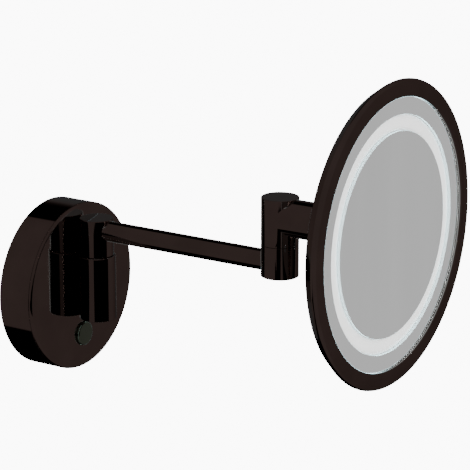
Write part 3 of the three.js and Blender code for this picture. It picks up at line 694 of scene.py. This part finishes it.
def make_neck_tee():
    """The elbow's upper half and the neck tube, joined in one casting with a fine inner corner."""
    bottom = low("neck_tee", Z)
    top = high("neck_tee", Z)
    post = [(0, bottom), (ELBOW_R, bottom), (ELBOW_R, top), (0, top)]
    piece = solid("neck_casting", rounded(post, [0, 0.12 * MM, 0.4 * MM, 0]), "Z", ELBOW_PLACE, TURN)
    tube = [(0, NECK_END), (ELBOW_R, NECK_END), (ELBOW_R, ELBOW_AXIS.y), (0, ELBOW_AXIS.y)]
    branch = solid("branch", rounded(tube, [0, 0.3 * MM, 0, 0]), "Y", HEAD_PLACE, TURN)
    boolean(piece, [branch], "UNION")
    bore = rod("cut", NECK_BORE_R, NECK_END - MM, ELBOW_AXIS.y + 3 * MM, "Y", HEAD_PLACE, TURN)
    pin = rod("cut", TURNING_BORE_R, bottom - MM, bottom + 12 * MM, "Z", ELBOW_PLACE, TURN)
    boolean(piece, [bore, pin], "DIFFERENCE")
    finished(smoothed(piece), BRONZE, "neck", "dark_bronze", "neck_tee")


def eyed_plate(name, left, right, root_y):
    """A plate across X with a round end about the tilt pin, running to root_y."""
    outline = []
    away = 1 if TILT_AXIS.y > root_y else -1
    for k in range(TURN // 2 + 1):
        a = math.pi / 2 - math.pi * k / (TURN // 2)
        y = TILT_AXIS.y + away * TONGUE_R * math.cos(a)
        outline.append((y, HEAD_Z + TONGUE_R * math.sin(a)))
    outline += [(root_y, HEAD_Z - TONGUE_R), (root_y, HEAD_Z + TONGUE_R)]
    bm = bmesh.new()
    sides = [[bm.verts.new((x, y, z)) for y, z in outline] for x in (left, right)]
    for side in sides:
        bm.faces.new(side)
    count = len(outline)
    for k in range(count):
        after = (k + 1) % count
        bm.faces.new((sides[0][k], sides[0][after], sides[1][after], sides[1][k]))
    return bevelled(new_object(name, bm), 0.3 * MM)


def make_neck_plug():
    """The plug and its tongue, with the eye for the tilt pin."""
    back = high("neck_end_plug", Y)
    flange_back = NECK_END - 0.15 * MM
    flange_front = NECK_END - 2.8 * MM
    spigot_r = NECK_BORE_R - 0.3 * MM
    outline = [(0, back), (spigot_r, back), (spigot_r, flange_back), (ELBOW_R, flange_back),
               (ELBOW_R, flange_front), (0, flange_front)]
    radii = [0, 0.5 * MM, 0, 0.25 * MM, 0.6 * MM, 0]
    piece = solid("neck_plug", rounded(outline, radii), "Y", HEAD_PLACE, TURN)
    root = flange_front + 0.4 * MM
    boolean(piece, [eyed_plate("tongue", -TONGUE_HALF, TONGUE_HALF, root)], "UNION")
    hole = rod("cut", PIN_HOLE_R, -6 * MM, 6 * MM, "X", TILT_PLACE)
    lead_place = (0, 0, middle("neck_lead", Z))
    lead = rod("cut", LEAD_HOLE_R, NECK_END - 4 * MM, NECK_END + 10 * MM, "Y", lead_place)
    boolean(piece, [hole, lead], "DIFFERENCE")
    finished(smoothed(piece), BRONZE, "neck", "dark_bronze", "neck_end_plug")


make_neck_tee()
make_neck_plug()

# ================= Head =================
RIM_R = reach("rim_ring", X)
RIM_FRONT = low("rim_ring", Y)
RIM_BACK = high("rim_ring", Y)
RIM_BACK_R = 107.7 * MM
GLASS_R = 100 * MM
RECESS_R = 103.9 * MM
GLASS_FRONT = low("centre_mirror", Y)
GLASS_BACK = high("centre_mirror", Y)
LIGHT_IN_R = reach("centre_mirror", X)
LIGHT_OUT_R = LIGHT_IN_R + 11.8 * MM
CHIP_SIZE = (2.8 * MM, 0.92 * MM, 3.4 * MM)
CHIP_COUNT = 24
CHIP_RING_R = 81.4 * MM
SHELL_SCREWS = [f"shell_screw_{i}" for i in range(1, 5)]
BRACKET_SCREWS = ["bracket_screw_lower", "bracket_screw_upper"]


def make_rim():
    """The ring round the glass: flat face, rounded inner lip, crisp outer edge, tapered side."""
    soft = 2.4 * MM
    corner_r = RIM_R + 0.95 * soft - 0.1 * MM
    ledge = GLASS_FRONT - 0.2 * MM
    outline = [(GLASS_R, ledge), (GLASS_R, RIM_FRONT), (corner_r, RIM_FRONT),
               (RIM_BACK_R, RIM_BACK), (RECESS_R, RIM_BACK), (RECESS_R, ledge)]
    radii = [0.2 * MM, 0.9 * MM, soft, 0.35 * MM, 0.3 * MM, 0]
    piece = solid("rim_frame", rounded(outline, radii), "Y", HEAD_PLACE, FINE)
    finished(smoothed(piece), RIM_BRONZE, "head", "dark_rim", "rim_ring")


def make_mirrors():
    """The centre disc and the outer ring of glass, with ground edges."""
    edge = 0.35 * MM
    edge_steps = 3
    outer = RECESS_R - 0.4 * MM
    discs = (("mirror_disc", "centre_mirror", 0, LIGHT_IN_R, [0, edge, edge, 0]),
             ("mirror_band", "outer_mirror", LIGHT_OUT_R, outer, [edge] * 4))
    for name, cad, near_r, far_r, radii in discs:
        outline = [(near_r, GLASS_FRONT), (far_r, GLASS_FRONT), (far_r, GLASS_BACK), (near_r, GLASS_BACK)]
        glass = solid(name, rounded(outline, radii, edge_steps), "Y", HEAD_PLACE, FINE)
        finished(smoothed(glass), SILVER, "head", "mirror_glass", cad)


def make_diffuser():
    """The opal ring in its groove, a little crowned, with a flange behind each glass edge."""
    inner = LIGHT_IN_R + 0.25 * MM
    outer = LIGHT_OUT_R - 0.25 * MM
    flange_in = 72.3 * MM
    flange_out = 90.2 * MM
    face = low("light_diffuser", Y)
    back = high("light_diffuser", Y)
    flange = back - 1.3 * MM
    crown_deep = 0.5 * MM
    crown_steps = 8
    crown = [(inner, face + crown_deep)]
    for k in range(1, crown_steps):
        t = k / crown_steps
        crown.append((inner + (outer - inner) * t, face + crown_deep * (2 * t - 1) ** 4))
    crown.append((outer, face + crown_deep))
    outline = [(flange_in, back), (flange_in, flange), (inner, flange), *crown, (outer, flange),
               (flange_out, flange), (flange_out, back)]
    piece = solid("light_ring", outline, "Y", HEAD_PLACE, FINE)
    finished(smoothed(piece), OPAL, "head", "opal", "light_diffuser")


def shell_curve(start, bend, end, steps=24):
    """A smooth run of points from start to end, pulled towards bend."""
    start, bend, end = Vector(start), Vector(bend), Vector(end)
    points = []
    for k in range(steps + 1):
        t = k / steps
        points.append(tuple((1 - t) ** 2 * start + 2 * t * (1 - t) * bend + t * t * end))
    return points


def make_back_shell():
    """The domed back, spun from sheet, with its screw holes."""
    front = low("head_back_shell", Y)
    back = high("head_back_shell", Y)
    inner = back - 1.6 * MM
    flat_r = 66 * MM
    hub_r = 30 * MM
    drop = 3 * MM
    outside = shell_curve((RIM_BACK_R - 0.3 * MM, front), (87 * MM, back - drop), (flat_r, back))
    inside = shell_curve((RIM_BACK_R - 2.5 * MM, front), (86.5 * MM, inner - drop), (flat_r, inner))
    section = [*outside, (hub_r, back), (0, back), (0, inner), (hub_r, inner), *reversed(inside)]
    piece = solid("head_shell", section, "Y", HEAD_PLACE, FINE)
    cutters = []
    for name in SHELL_SCREWS + BRACKET_SCREWS:
        cutters.append(rod("cut", SCREW_HOLE_R, back - 4 * MM, back + 2 * MM, "Y", wall_point(name)))
    boolean(piece, cutters, "DIFFERENCE")
    finished(smoothed(piece), SHELL_BRONZE, "head", "dark_shell", "head_back_shell")


def ring_tree():
    """Copies of one piece round a circle across Y, each with a small seeded turn of its own."""
    tree = bpy.data.node_groups.new("RingOfCopies", "GeometryNodeTree")
    face = tree.interface
    face.new_socket("Geometry", in_out="INPUT", socket_type="NodeSocketGeometry")
    wanted = (("Copy", "Object"), ("Count", "Int"), ("Radius", "Float"), ("First Angle", "Float"),
              ("Centre", "Vector"), ("Loose Turn", "Float"), ("Seed", "Int"), ("Material", "Material"))
    for label, kind in wanted:
        face.new_socket(label, in_out="INPUT", socket_type=f"NodeSocket{kind}")
    face.new_socket("Geometry", in_out="OUTPUT", socket_type="NodeSocketGeometry")
    start = node(tree, "NodeGroupInput")
    end = node(tree, "NodeGroupOutput")
    circle = node(tree, "GeometryNodeMeshCircle")
    wire(tree, start.outputs["Count"], circle.inputs["Vertices"])
    wire(tree, start.outputs["Radius"], circle.inputs["Radius"])
    index = node(tree, "GeometryNodeInputIndex")
    share = combined(tree, "DIVIDE", index.outputs[0], start.outputs["Count"])
    angle = combined(tree, "MULTIPLY_ADD", share, 2 * math.pi)
    wire(tree, start.outputs["First Angle"], angle.node.inputs[2])
    place = node(tree, "ShaderNodeCombineXYZ")
    across = combined(tree, "MULTIPLY", combined(tree, "COSINE", angle, 0.0), start.outputs["Radius"])
    up = combined(tree, "MULTIPLY", combined(tree, "SINE", angle, 0.0), start.outputs["Radius"])
    wire(tree, across, place.inputs["X"])
    wire(tree, up, place.inputs["Z"])
    moved = node(tree, "ShaderNodeVectorMath", operation="ADD")
    wire(tree, place.outputs[0], moved.inputs[0])
    wire(tree, start.outputs["Centre"], moved.inputs[1])
    points = node(tree, "GeometryNodeSetPosition")
    wire(tree, circle.outputs["Mesh"], points.inputs["Geometry"])
    wire(tree, moved.outputs[0], points.inputs["Position"])
    loose = node(tree, "FunctionNodeRandomValue", data_type="FLOAT")
    wire(tree, start.outputs["Seed"], loose.inputs["Seed"])
    extra = combined(tree, "MULTIPLY", loose.outputs[1], start.outputs["Loose Turn"])
    facing = combined(tree, "MULTIPLY", angle, -1.0)
    spin = node(tree, "ShaderNodeCombineXYZ")
    wire(tree, combined(tree, "ADD", facing, extra), spin.inputs["Y"])
    copy = node(tree, "GeometryNodeObjectInfo")
    wire(tree, start.outputs["Copy"], copy.inputs["Object"])
    dots = node(tree, "GeometryNodeInstanceOnPoints")
    wire(tree, points.outputs[0], dots.inputs["Points"])
    wire(tree, copy.outputs["Geometry"], dots.inputs["Instance"])
    wire(tree, spin.outputs[0], dots.inputs["Rotation"])
    real = node(tree, "GeometryNodeRealizeInstances")
    wire(tree, dots.outputs[0], real.inputs[0])
    coat = node(tree, "GeometryNodeSetMaterial")
    wire(tree, real.outputs[0], coat.inputs["Geometry"])
    wire(tree, start.outputs["Material"], coat.inputs["Material"])
    joined = node(tree, "GeometryNodeJoinGeometry")
    wire(tree, start.outputs["Geometry"], joined.inputs[0])
    wire(tree, coat.outputs[0], joined.inputs[0])
    wire(tree, joined.outputs[0], end.inputs[0])
    return tree


RING_OF_COPIES = ring_tree()


def ring_of_copies(piece, copy, values):
    """Adds copies of one piece round a circle to the mesh of another; values are the tree's inputs."""
    change = piece.modifiers.new("ring", "NODES")
    change.node_group = RING_OF_COPIES
    values["Copy"] = copy
    for item in RING_OF_COPIES.interface.items_tree:
        if item.in_out == "INPUT" and item.name in values:
            change[item.identifier] = values[item.name]
    applied(piece)
    bpy.data.objects.remove(copy)


def make_shell_screws():
    """Pan-head screws with a hexagon socket, each tightened to its own angle."""
    first = SHELL_SCREWS[0]
    top = high(first, Y)
    tip = low(first, Y)
    seat = top - 1.9 * MM
    head_r = 3.2 * MM
    shank_r = 1.5 * MM
    key_r = 1.35 * MM
    outline = [(0, top), (head_r, top), (head_r, seat), (shank_r, seat), (shank_r, tip), (0, tip)]
    radii = [0, 1.0 * MM, 0.15 * MM, 0, 0.3 * MM, 0]
    screw = solid("pan_screw", rounded(outline, radii), "Y", ORIGIN, SMALL)
    boolean(screw, [rod("cut", key_r, top - 1.1 * MM, top + MM, "Y", ORIGIN, HEXAGON)], "DIFFERENCE")
    smoothed(screw)
    for corner in screw.data.vertices:
        corner.co.y -= top
    radius = math.hypot(middle(first, X), middle(first, Z) - HEAD_Z)
    piece = new_object("shell_screws_fine", bmesh.new())
    ring_of_copies(piece, screw, {
        "Count": len(SHELL_SCREWS), "Radius": radius, "First Angle": math.pi / 4,
        "Centre": (0, top, HEAD_Z), "Loose Turn": 1.0, "Seed": 4, "Material": STEEL_BLACK,
    })
    finished(piece, STEEL_BLACK, "head", "zinc_steel", *SHELL_SCREWS)


def make_light_board():
    """The ring-shaped board and its light chips, which sit behind the opal ring."""
    front = low("led_board", Y)
    back = high("led_board", Y)
    inner = 74 * MM
    outer = 88.5 * MM
    face = back - 1.5 * MM
    board = [(inner, face), (outer, face), (outer, back), (inner, back)]
    piece = solid("light_board", rounded(board, [0.15 * MM] * 4, 2), "Y", HEAD_PLACE, FINE)
    piece.data.materials.append(WHITE_MOULDING)
    bm = bmesh.new()
    bmesh.ops.create_cube(bm, size=1)
    bmesh.ops.scale(bm, vec=CHIP_SIZE, verts=bm.verts)
    chip = new_object("light_chip", bm)
    bevelled(chip, 0.12 * MM, segments=2)
    ring_of_copies(piece, smoothed(chip), {
        "Count": CHIP_COUNT, "Radius": CHIP_RING_R, "First Angle": 0.0,
        "Centre": (0, front + 0.47 * MM, HEAD_Z), "Loose Turn": 0.0, "Seed": 1, "Material": PHOSPHOR,
    })
    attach(piece, "head")
    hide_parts("led_board")


def make_tilt_bracket():
    """The foot and the two ears that hold the tilt pin."""
    front = low("tilt_bracket", Y)
    back = front + 2.2 * MM
    foot_r = reach("tilt_bracket", X)
    ear_in = 4.0 * MM
    ear_out = 7.6 * MM
    outline = [(0, front), (foot_r, front), (foot_r, back), (0, back)]
    piece = solid("tilt_yoke", rounded(outline, [0, 0.2 * MM, 0.6 * MM, 0]), "Y", HEAD_PLACE, TURN)
    ears = []
    for left, right in ((-ear_out, -ear_in), (ear_in, ear_out)):
        ears.append(eyed_plate("ear", left, right, back - 0.4 * MM))
    boolean(piece, ears, "UNION")
    cutters = [rod("cut", PIN_HOLE_R, -10 * MM, 10 * MM, "X", TILT_PLACE)]
    for name in BRACKET_SCREWS:
        cutters.append(rod("cut", 1.8 * MM, front - MM, back - 0.7 * MM, "Y", wall_point(name)))
    boolean(piece, cutters, "DIFFERENCE")
    finished(smoothed(piece), BRONZE, "head", "dark_bronze", "tilt_bracket")


def make_tilt_pin():
    """The tilt pin with its domed head, its nut and the two washers."""
    left = low("tilt_pin", X)
    right = high("tilt_pin", X)
    seat = 7.75 * MM
    head_r = 4.2 * MM
    outline = [(0, left), (head_r, left), (head_r, -seat), (PIN_R, -seat), (PIN_R, right), (0, right)]
    radii = [0, 1.1 * MM, 0.15 * MM, 0, 0.4 * MM, 0]
    pin = solid("tilt_bolt", rounded(outline, radii), "X", TILT_PLACE, TURN)
    boolean(pin, [rod("cut", 1.6 * MM, left - MM, left + 1.4 * MM, "X", TILT_PLACE, HEXAGON)], "DIFFERENCE")
    finished(smoothed(pin), BRONZE, "head", "dark_bronze", "tilt_pin")
    nut = rod("tilt_bolt_nut", 4.65 * MM, seat, seat + 3.5 * MM, "X", TILT_PLACE, HEXAGON)
    dome_r = 4.9 * MM
    dome_top = seat + 3.6 * MM
    dome = [(0, seat - MM), (dome_r, seat - MM), (dome_r, seat + 3.2 * MM), (4.0 * MM, dome_top),
            (0, dome_top)]
    boolean(nut, [solid("dome", dome, "X", TILT_PLACE, TURN)], "INTERSECT")
    boolean(nut, [rod("cut", PIN_R + 0.05 * MM, 0, 20 * MM, "X", TILT_PLACE)], "DIFFERENCE")
    finished(smoothed(nut), ZINC, "head", "zinc_steel", "tilt_nut")
    hole_r = 2.7 * MM
    washer_r = 6 * MM
    thin, thick = 3.2 * MM, 3.8 * MM
    for word, near, far in (("left", -thick, -thin), ("right", thin, thick)):
        section = [(hole_r, near), (washer_r, near), (washer_r, far), (hole_r, far)]
        washer = solid(f"tilt_slip_{word}", section, "X", TILT_PLACE, TURN)
        finished(smoothed(washer), NYLON, "head", "nylon", f"tilt_washer_{word}")


make_rim()
make_mirrors()
make_diffuser()
make_back_shell()
make_shell_screws()
make_light_board()
make_tilt_bracket()
make_tilt_pin()

# ================= Studio =================
CAMERA_PLACE = Vector((-1.42287, -1.08863, 0.55016))
CAMERA_AZIMUTH = math.radians(-57.222)
CAMERA_ELEVATION = math.radians(16.048)
CAMERA_LENS = 180.75
CAMERA_SENSOR = 36
CAMERA_FAR = 100
FLOOR_Z = -0.55
FLOOR_R = 30.0
FLOOR_GLOW = 8.0
CARD_SLOPE = math.tan(math.radians(17.5))
STUDIO_LIGHT = 2.5      # how bright the room is on matt pieces
SECOND_GLINT = 18.0     # how much a reflection in a reflection is lifted
GLINT_HUE = (0.75, 1.12, 1.22, 1)
WHITE = (1, 1, 1, 1)

# Dark patches of the room: azimuth, elevation, then where dark ends and light begins, in degrees.
BACKDROP = (123, -16, 8, 46)
LOW_PATCH = (150, -60, 40.3, 42.3)
HIGH_PATCHES = ((147, 44, 9.5, 12), (138, 38, 2, 20))
BACKDROP_DARK = 0.07
WALL_SIDE = (0.64, 0.68)    # past this much of +Y the low patch ends


def direction(azimuth, elevation):
    """A unit vector: azimuth 0 is towards -Y and turns towards +X; elevation is up."""
    a, e = math.radians(azimuth), math.radians(elevation)
    return Vector((math.sin(a) * math.cos(e), -math.cos(a) * math.cos(e), math.sin(e)))


def make_camera():
    """The camera, which stands in front on the left and looks down a little."""
    data = bpy.data.cameras.new("camera")
    data.lens = CAMERA_LENS
    data.sensor_width = CAMERA_SENSOR
    data.clip_end = CAMERA_FAR
    camera = bpy.data.objects.new("camera", data)
    camera.location = CAMERA_PLACE
    camera.rotation_euler = (math.pi / 2 - CAMERA_ELEVATION, 0, CAMERA_AZIMUTH)
    bpy.context.scene.collection.objects.link(camera)
    bpy.context.scene.camera = camera


def hide_from(piece, *rays):
    """Keeps a stage piece out of some kinds of ray."""
    for ray in rays:
        setattr(piece, f"visible_{ray}", False)


def make_floor():
    """A plain pale floor with a glow of its own, which the pieces neither mirror nor are lit by."""
    bm = bmesh.new()
    bmesh.ops.create_circle(bm, cap_ends=True, segments=64, radius=FLOOR_R)
    bmesh.ops.translate(bm, verts=bm.verts, vec=(0, 0, FLOOR_Z))
    floor = new_object("floor", bm)
    material, _, shader = blank_material("pale_floor")
    give(shader, {
        "Base Color": (0.9, 0.9, 0.9, 1), "Roughness": 0.9, "Specular IOR Level": 0.0,
        "Emission Color": WHITE, "Emission Strength": FLOOR_GLOW,
    })
    floor.data.materials.append(material)
    hide_from(floor, "glossy", "diffuse", "shadow")


def make_card_black():
    """Dead black, for the cards that the camera doesn't see."""
    material, _, shader = blank_material("card_black")
    give(shader, {"Base Color": (0, 0, 0, 1), "Specular IOR Level": 0.0})
    return material


CARD_BLACK = make_card_black()


def make_black_card(name, axis_y, y, left, right, low_z, high_z):
    """A slanting strip that draws a black band down an upright post whose axis is at axis_y."""
    steps = 24
    bm = bmesh.new()
    columns = []
    for step in range(steps + 1):
        x = left + (right - left) * step / steps
        drop = CARD_SLOPE * math.hypot(x, y - axis_y)
        columns.append([bm.verts.new((x, y, z - drop)) for z in (low_z, high_z)])
    for one, two in zip(columns, columns[1:]):
        bm.faces.new((one[0], two[0], two[1], one[1]))
    card = new_object(name, bm)
    card.data.materials.append(CARD_BLACK)
    hide_from(card, "camera", "diffuse", "shadow")


def spot(tree, view, azimuth, elevation, inner, outer):
    """0 within inner degrees of a direction, 1 beyond outer degrees of it."""
    dot = node(tree, "ShaderNodeVectorMath", operation="DOT_PRODUCT")
    dot.inputs[1].default_value = direction(azimuth, elevation)
    wire(tree, view, dot.inputs[0])
    inner_cos, outer_cos = (math.cos(math.radians(angle)) for angle in (inner, outer))
    return ranged(tree, dot.outputs["Value"], inner_cos, outer_cos, 0, 1)


def make_studio():
    """A white soft room with dark patches, which draw the dark bands on the polished metal."""
    world = bpy.data.worlds.new("studio")
    world.use_nodes = True
    bpy.context.scene.world = world
    tree = world.node_tree
    tree.nodes.clear()
    view = node(tree, "ShaderNodeTexCoord").outputs["Generated"]
    light = ranged(tree, spot(tree, view, *BACKDROP), 0, 1, BACKDROP_DARK, 1, "LINEAR")
    split = node(tree, "ShaderNodeSeparateXYZ")
    wire(tree, view, split.inputs[0])
    wall_side = ranged(tree, split.outputs["Y"], *WALL_SIDE, 0, 1)
    patches = [combined(tree, "MAXIMUM", spot(tree, view, *LOW_PATCH), wall_side)]
    patches += [spot(tree, view, *patch) for patch in HIGH_PATCHES]
    for patch in patches:
        light = combined(tree, "MULTIPLY", light, patch)
    path = node(tree, "ShaderNodeLightPath")
    again = combined(tree, "SUBTRACT", path.outputs["Glossy Depth"], 1.0)
    turns = ranged(tree, again, 0, 2, 0, 2, "LINEAR")
    lifted = combined(tree, "MULTIPLY", light, combined(tree, "POWER", SECOND_GLINT, turns))
    strength = node(tree, "ShaderNodeMix", data_type="FLOAT")
    strength.inputs[NUMBER_A].default_value = STUDIO_LIGHT
    wire(tree, lifted, strength.inputs[NUMBER_B])
    wire(tree, path.outputs["Is Glossy Ray"], strength.inputs["Factor"])
    hue = blended(tree, ranged(tree, again, 0, 1, 0, 1, "LINEAR"), WHITE, GLINT_HUE)
    background = node(tree, "ShaderNodeBackground")
    wire(tree, hue, background.inputs["Color"])
    wire(tree, strength.outputs[0], background.inputs["Strength"])
    out = node(tree, "ShaderNodeOutputWorld")
    wire(tree, background.outputs[0], out.inputs["Surface"])


make_camera()
make_floor()
make_black_card("sleeve_card", WALL_AXIS.y, y=-0.262, left=-0.94, right=0.054, low_z=-0.035, high_z=0.078)
make_black_card("elbow_card", ELBOW_AXIS.y, y=-0.298, left=-0.40, right=-0.118, low_z=0.030, high_z=0.105)
make_studio()
